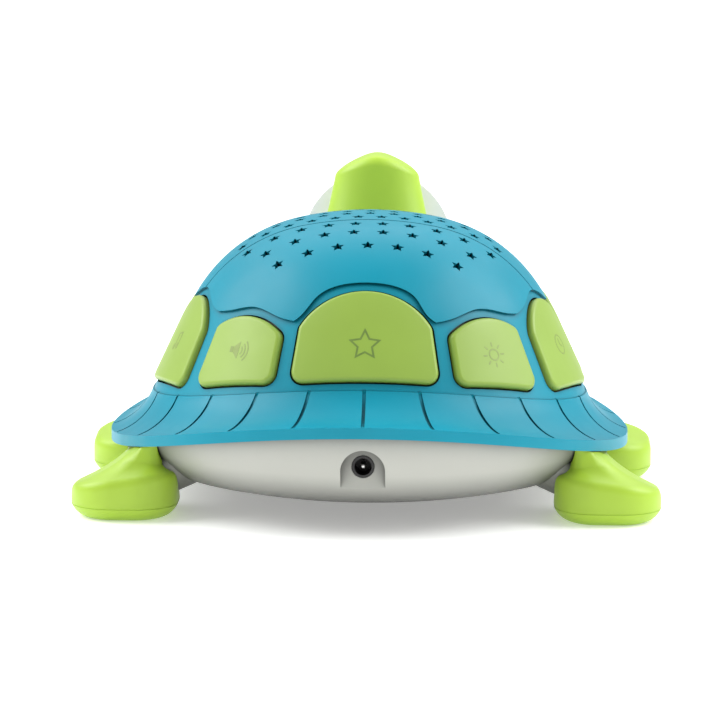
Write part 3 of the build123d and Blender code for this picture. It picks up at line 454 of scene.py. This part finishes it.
def ribbon(points, width, closed=False):
    """A strip of quads of even width along flat points, as vertices and faces."""
    count = len(points)
    verts = []
    for index, point in enumerate(points):
        before = points[index - 1] if closed or index else point
        after = points[(index + 1) % count] if closed or index < count - 1 else point
        into = (Vector(point) - Vector(before)).normalized()
        out = (Vector(after) - Vector(point)).normalized()
        along = (into + out).normalized()
        side = Vector((-along.y, along.x))
        lean = max(LEAST_LEAN, along.dot(out if out.length else into))
        reach = side * (width / 2 / lean)
        verts.append(Vector(point) + reach)
        verts.append(Vector(point) - reach)
    faces = []
    for index in range(count if closed else count - 1):
        after = (index + 1) % count
        faces.append((2 * index, 2 * index + 1, 2 * after + 1, 2 * after))
    return verts, faces


def filled(points):
    """A flat shape inside an outline, as vertices and faces."""
    verts = [Vector(point) for point in points]
    faces = geometry.tessellate_polygon([[Vector((x, y, 0)) for x, y in points]])
    return verts, [tuple(face) for face in faces]


def fine(points, step, closed=False):
    """The same path with points no further apart than step."""
    made = []
    ends = list(points) + ([points[0]] if closed else [])
    for start, end in zip(ends, ends[1:]):
        start, end = Vector(start), Vector(end)
        parts = max(1, ceil((end - start).length / step - LENGTH_SLACK))
        made.extend(tuple(start.lerp(end, index / parts)) for index in range(parts))
    if not closed:
        made.append(tuple(ends[-1]))
    return made


def arc(centre, radius, start, end, count=14):
    """Points along an arc, with its ends in degrees."""
    turns = [radians(start + (end - start) * index / (count - 1)) for index in range(count)]
    return [(centre[0] + radius * cos(turn), centre[1] + radius * sin(turn)) for turn in turns]


def circle(centre, radius, count=16):
    """Points round a circle."""
    return arc(centre, radius, 0, 360 - 360 / count, count)


def lay(name, shapes, node, centre, right, up, ink, body):
    """Lays flat shapes, in millimetres about centre, on the outside of a CAD node."""
    mesh = frame["nodes"][node].data
    corners = [vertex.co.copy() for vertex in mesh.vertices]
    skin = BVHTree.FromPolygons(corners, [tuple(face.vertices) for face in mesh.polygons])
    out = right.cross(up).normalized()
    verts, faces = [], []
    for shape_verts, shape_faces in shapes:
        first = len(verts)
        for flat in shape_verts:
            start = centre + right * (flat.x * MM) + up * (flat.y * MM) + out * RAY_START
            place = skin.ray_cast(start, -out)[0]
            verts.append(place + out * PRINT_PROUD)
        faces.extend(tuple(first + index for index in face) for face in shape_faces)
    made = bpy.data.meshes.new(name)
    made.from_pydata(verts, [], faces)
    made.update()
    for face in made.polygons:
        if face.normal.dot(out) < 0:
            face.flip()
    made.update()
    thing = bpy.data.objects.new(name, made)
    bpy.context.collection.objects.link(thing)
    thing.data.materials.append(ink)
    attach(thing, body)
    return thing


def flank_frame(bearing, height):
    """A place near the dome's flank, and its right and up directions, seen from outside."""
    turn = radians(bearing)
    away = Vector((sin(turn), -cos(turn), 0))
    right = Vector((cos(turn), sin(turn), 0))
    out = away * cos(FLANK_LEAN) + Vector((0, 0, sin(FLANK_LEAN)))
    up = out.cross(right)
    reach = (ICON_REACH - (height - ICON_LEVEL) * FLANK_SLOPE) * MM
    centre = Vector((0, AXIS_Y, height * MM)) + away * reach
    return centre, right, up


STAR_TIP, STAR_NOTCH = 5.6, 2.75
star = []
for index in range(10):
    radius = STAR_NOTCH if index % 2 else STAR_TIP
    turn = radians(90 + 36 * index)
    star.append((radius * cos(turn), radius * sin(turn)))
star_icon = [ribbon(fine(star, 1.2, True), BOLD, True)]

speaker_icon = [
    filled([(-4.2, -1.1), (-2.7, -1.1), (-2.7, 1.1), (-4.2, 1.1)]),
    filled([(-2.4, -1.2), (0.1, -3.4), (0.1, 3.4), (-2.4, 1.2)]),
    ribbon(arc((-0.6, 0), 2.2, -42, 42), THIN),
    ribbon(arc((-0.6, 0), 3.6, -45, 45), THIN),
    ribbon(arc((-0.6, 0), 5.0, -47, 47), THIN),
]

SUN_RADIUS, RAY_FOOT, RAY_TIP = 2.1, 3.2, 4.8
sun_icon = [ribbon(circle((0, 0), SUN_RADIUS), THIN, True)]
for index in range(8):
    turn = radians(45 * index)
    away = Vector((cos(turn), sin(turn)))
    sun_icon.append(ribbon(fine([tuple(away * RAY_FOOT), tuple(away * RAY_TIP)], 0.8), THIN))

note_icon = [
    ribbon(fine([(-1.0, -2.6), (-1.0, 3.0), (2.4, 3.9), (2.4, -1.7)], 0.9), THICK),
    filled(circle((-2.0, -2.7), 1.25)),
    filled(circle((1.4, -1.8), 1.25)),
]

clock_icon = [
    ribbon(circle((0, 0), 3.8, 24), MEDIUM, True),
    ribbon(fine([(0, 2.4), (0, 0), (1.7, -1.0)], 0.6), MEDIUM),
]

moon_icon = [filled(arc((0, 0), 3.9, 50, 310, 24) + arc((1.9, 0), 3.05, 285, 75, 18))]

WAVE_START, WAVE_STEP, WAVE_POINTS = -4.5, 0.5, 19
WAVE_HEIGHT, WAVE_RATE, WAVE_LIFT = 1.3, 1.4, 1.7
wave_icon = []
for lift in (-WAVE_LIFT, WAVE_LIFT):
    ways = [WAVE_STEP * step for step in range(WAVE_POINTS)]
    wave = [(WAVE_START + way, WAVE_HEIGHT * sin(way * WAVE_RATE) + lift) for way in ways]
    wave_icon.append(ribbon(wave, MEDIUM))

# Each button's icon, its bearing in degrees, its height in millimetres and its ink
icons = {
    "button_star": (star_icon, 0.0, 71.0, print_ink),
    "button_rear_left": (speaker_icon, -39.3, 66.3, print_pale),
    "button_rear_right": (sun_icon, 39.3, 65.5, print_pale),
    "button_side_left": (note_icon, -73.5, 64.0, print_pale),
    "button_side_right": (clock_icon, 73.5, 64.0, print_pale),
    "button_front_left": (wave_icon, -109.6, 64.0, print_pale),
    "button_front_right": (moon_icon, 109.6, 64.0, print_pale),
}
for node, (shapes, bearing, height, ink) in icons.items():
    centre, right, up = flank_frame(bearing, height)
    decal = lay(node.replace("button", "print"), shapes, node, centre, right, up, ink, node)

# A plain smile on the face, on the side that the photograph doesn't show
face_low, face_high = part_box("face_disc")
face_middle = (face_low + face_high) / 2
smile_line = ribbon(arc((0, 0), 14.0, 222, 318, 28), SMILE_LINE)
smile = lay("print_smile", [smile_line], "face_disc", Vector((0, face_high.y, face_middle.z)),
            Vector((-1, 0, 0)), Vector((0, 0, 1)), smile_ink, "base")


# Floor, light and camera
FLOOR_HALF = 30.0
FLOOR_GLOW = 0.33
WORLD_LIGHT = 0.55

floor_mesh = bpy.data.meshes.new("floor")
floor_corners = [(x * FLOOR_HALF, y * FLOOR_HALF, 0) for x, y in ((-1, -1), (1, -1), (1, 1), (-1, 1))]
floor_mesh.from_pydata(floor_corners, [], [(0, 1, 2, 3)])
floor = bpy.data.objects.new("floor", floor_mesh)
bpy.context.collection.objects.link(floor)
floor_white = surface("floor_white", linear(248, 248, 247), rough=0.7, mottle=0.004, cloud=3.0, depth=0.0)
floor_shader = floor_white.node_tree.nodes["Principled BSDF"]
floor_shader.inputs["Emission Color"].default_value = (1.0, 1.0, 0.98, 1.0)
floor_shader.inputs["Emission Strength"].default_value = FLOOR_GLOW
floor_mesh.materials.append(floor_white)

scene = bpy.context.scene
scene.view_settings.view_transform = "Standard"
world = bpy.data.worlds.new("studio")
world.use_nodes = True
world.node_tree.nodes["Background"].inputs["Color"].default_value = (1.0, 1.0, 1.0, 1.0)
world.node_tree.nodes["Background"].inputs["Strength"].default_value = WORLD_LIGHT
scene.world = world


def softbox(name, place, aim, width, height, power):
    """A soft light that is aimed at a place."""
    lamp = bpy.data.lights.new(name, "AREA")
    lamp.shape = "RECTANGLE"
    lamp.size = width
    lamp.size_y = height
    lamp.energy = power
    thing = bpy.data.objects.new(name, lamp)
    thing.location = place
    thing.rotation_mode = "QUATERNION"
    thing.rotation_quaternion = (Vector(aim) - Vector(place)).to_track_quat("-Z", "Y")
    bpy.context.collection.objects.link(thing)


softbox("back", place=(0.0, 2.0, 2.2), aim=(0.0, 1.2, 0.0), width=4.0, height=2.4, power=38.0)
for side, side_name in ((-1, "left"), (1, "right")):
    softbox(side_name, place=(side * 1.0, 0.05, 0.9), aim=(0.0, 0.0, 0.06), width=1.1, height=0.9, power=17.0)

# Camera of the photograph: a long lens, a little above the shell, from behind
DISTANCE = 1.5
AZIMUTH = radians(1.5)
ELEVATION = radians(9.0)
ROLL = radians(0.3)
FOCAL_PIXELS = 3900.0
IMAGE = 720.0
SENSOR = 36.0
TARGET_PIXEL = (370.0, 352.6)
TARGET_HEIGHT = 55.0 * MM
CLIP_NEAR, CLIP_FAR = 0.05, 100.0

back = Vector((sin(AZIMUTH) * cos(ELEVATION), -cos(AZIMUTH) * cos(ELEVATION), sin(ELEVATION)))
camera_data = bpy.data.cameras.new("camera")
camera_data.sensor_width = SENSOR
camera_data.lens = FOCAL_PIXELS * SENSOR / IMAGE
camera_data.shift_x = (IMAGE / 2 - TARGET_PIXEL[0]) / IMAGE
camera_data.shift_y = (TARGET_PIXEL[1] - IMAGE / 2) / IMAGE
camera_data.clip_start = CLIP_NEAR
camera_data.clip_end = CLIP_FAR
camera = bpy.data.objects.new("camera", camera_data)
camera.location = Vector((0.0, AXIS_Y, TARGET_HEIGHT)) + back * DISTANCE
camera.rotation_mode = "QUATERNION"
camera.rotation_quaternion = (-back).to_track_quat("-Z", "Y") @ Quaternion((0, 0, 1), ROLL)
bpy.context.collection.objects.link(camera)
scene.camera = camera
